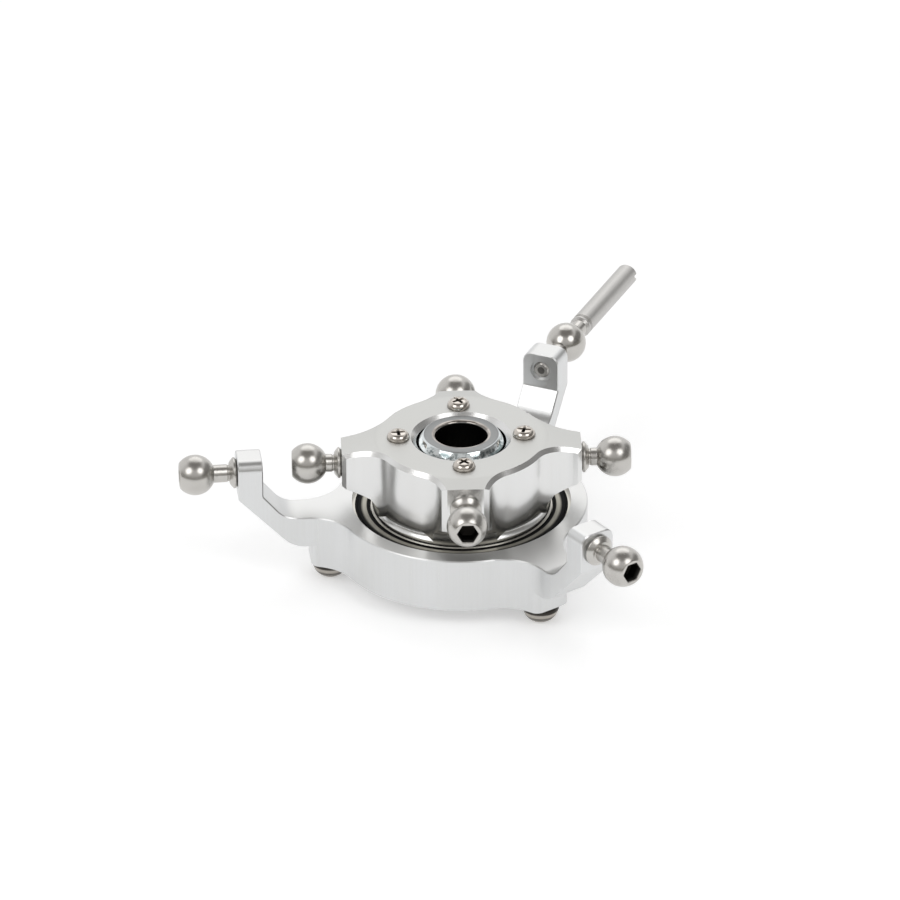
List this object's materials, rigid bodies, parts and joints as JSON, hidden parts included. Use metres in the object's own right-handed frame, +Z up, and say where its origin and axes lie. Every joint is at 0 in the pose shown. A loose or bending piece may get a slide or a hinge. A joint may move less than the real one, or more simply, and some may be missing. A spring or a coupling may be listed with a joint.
{
  "type": "helicopter swashplate",
  "caption": "Model helicopter swashplate: a fixed lower ring with servo arms and a rotating upper star on a ball bearing, both tilting on a ball that slides on the main shaft.",
  "frame": {"origin": "centre of the shaft ball, on the axis of the main shaft", "axes": "+Z up the main shaft, +Y towards the guide pin, +X completes the right-handed frame"},
  "size_m": [0.0586, 0.0681, 0.018],
  "materials": {
    "ring_aluminium": "satin machined, bare",
    "star_aluminium": "satin machined, bare, with polished chamfers",
    "bearing_steel": "ground",
    "bearing_ball_steel": "polished",
    "cage_nylon": "moulded",
    "seal_rubber": "moulded",
    "seal_steel": "pressed",
    "screw_steel": "nickel plated",
    "stud_steel": "satin polished",
    "liner_plastic": "moulded",
    "ball_chrome": "polished"
  },
  "bodies": {
    "lower_ring": {"lower_ring": "ring_aluminium", "bearing_outer_race": "bearing_steel", "upper_seal": "seal_rubber", "upper_seal_plate": "seal_steel", "lower_seal": "seal_rubber", "lower_seal_plate": "seal_steel", "bearing_retainer": "ring_aluminium", "retainer_screws": "screw_steel", "left_servo_ball": "stud_steel", "right_servo_ball": "stud_steel", "guide_pin": "stud_steel"},
    "upper_star": {"upper_star": "star_aluminium", "bearing_inner_race": "bearing_steel", "seat_holder": "star_aluminium", "seat_screws": "screw_steel", "right_blade_ball": "stud_steel", "rear_driver_ball": "stud_steel", "left_blade_ball": "stud_steel", "front_driver_ball": "stud_steel"},
    "bearing_cage": {"bearing_cage": "cage_nylon", "bearing_balls": "bearing_ball_steel"},
    "ball_liner": {"ball_liner": "liner_plastic"},
    "shaft_ball": {"shaft_ball": "ball_chrome"}
  },
  "joints": [
    {"name": "star_spin", "type": "hinge", "parent": "lower_ring", "child": "upper_star", "pos_m": [0, 0, 0], "axis": [0, 0, 1], "continuous": true},
    {"name": "cage_spin", "type": "hinge", "parent": "lower_ring", "child": "bearing_cage", "pos_m": [0, 0, -0.0079], "axis": [0, 0, 1], "continuous": true},
    {"name": "liner_tilt", "type": "hinge", "parent": "upper_star", "child": "ball_liner", "pos_m": [0, 0, 0], "axis": [1, 0, 0], "range_deg": [-10, 10]},
    {"name": "ball_tilt", "type": "hinge", "parent": "ball_liner", "child": "shaft_ball", "pos_m": [0, 0, 0], "axis": [0, 1, 0], "range_deg": [-10, 10]}
  ],
  "couplings": [
    {"joint": "cage_spin", "follows": "star_spin", "ratio": 0.45745}
  ]
}
